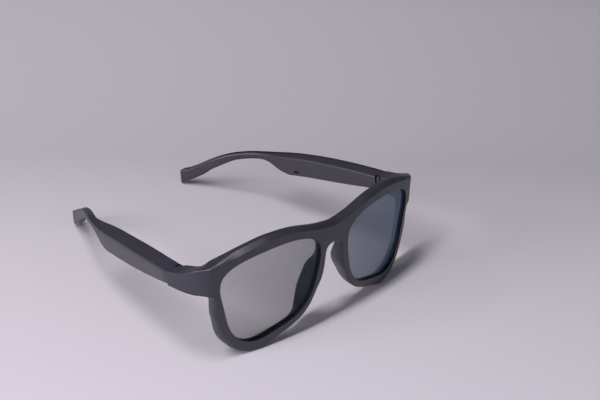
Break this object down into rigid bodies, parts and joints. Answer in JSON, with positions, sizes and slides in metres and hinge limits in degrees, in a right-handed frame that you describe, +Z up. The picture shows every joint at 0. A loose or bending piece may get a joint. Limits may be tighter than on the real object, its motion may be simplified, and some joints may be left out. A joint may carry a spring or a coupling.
{
  "type": "smart sunglasses",
  "caption": "Smart sunglasses with a thick moulded front, tinted lenses, nose pads, and folding temples that hold batteries, speakers and a power button.",
  "frame": {"origin": "middle of the bounding box's base: on the table, midway between the temples and midway between face and temple tips", "axes": "the face looks along -Y and the temples run back along +Y; +Z is up; +X is the wearer's left"},
  "size_m": [0.147, 0.154, 0.0573],
  "materials": {
    "frame_plastic": "matte moulded charcoal nylon with a fine grain",
    "cover_plastic": "matte moulded charcoal nylon, printing left off",
    "lens": "polished polycarbonate, tinted grey",
    "hinge_steel": "satin stainless steel",
    "battery_foil": "laminated pouch foil",
    "board": "green solder mask on glass fibre board",
    "tin": "tin-plated can",
    "speaker_body": "black moulded speaker frame",
    "mesh": "black perforated steel",
    "flex": "polyimide film over copper",
    "button_plastic": "matte charcoal plastic",
    "gold": "gold-plated",
    "nickel": "nickel-plated"
  },
  "bodies": {
    "front": {"front_frame": "frame_plastic", "left_lens": "lens", "right_lens": "lens", "left_hinge_front_leaf": "hinge_steel", "right_hinge_front_leaf": "hinge_steel", "left_hinge_screw": "hinge_steel", "right_hinge_screw": "hinge_steel"},
    "left_temple": {"left_temple_housing": "frame_plastic", "left_temple_cover": "cover_plastic", "left_hinge_temple_leaf": "hinge_steel", "left_battery": "battery_foil", "left_circuit_board": "board", "left_microphone": "tin", "left_speaker": "speaker_body", "left_speaker_mesh": "mesh", "left_speaker_flex": "flex"},
    "right_temple": {"right_temple_housing": "frame_plastic", "right_temple_cover": "cover_plastic", "right_hinge_temple_leaf": "hinge_steel", "right_battery": "battery_foil", "right_circuit_board": "board", "right_microphone": "tin", "right_speaker": "speaker_body", "right_speaker_mesh": "mesh", "right_speaker_flex": "flex", "button_switch": "tin", "charging_contacts": "gold", "charging_magnets": "nickel"},
    "power_button": {"power_button": "button_plastic"}
  },
  "joints": [
    {"name": "left_temple_fold", "type": "hinge", "parent": "front", "child": "left_temple", "pos_m": [0.06607, -0.0463, 0.0384], "axis": [-0.0199, 0.1621, 0.9866], "range_deg": [0, 70]},
    {"name": "right_temple_fold", "type": "hinge", "parent": "front", "child": "right_temple", "pos_m": [-0.06607, -0.0463, 0.0384], "axis": [-0.0199, -0.1621, -0.9866], "range_deg": [0, 78]},
    {"name": "power_button_press", "type": "slide", "parent": "right_temple", "child": "power_button", "axis": [0.0199, 0.1621, 0.9866], "range_m": [0, 0.0004], "stiffness_N_per_m": 2000}
  ]
}
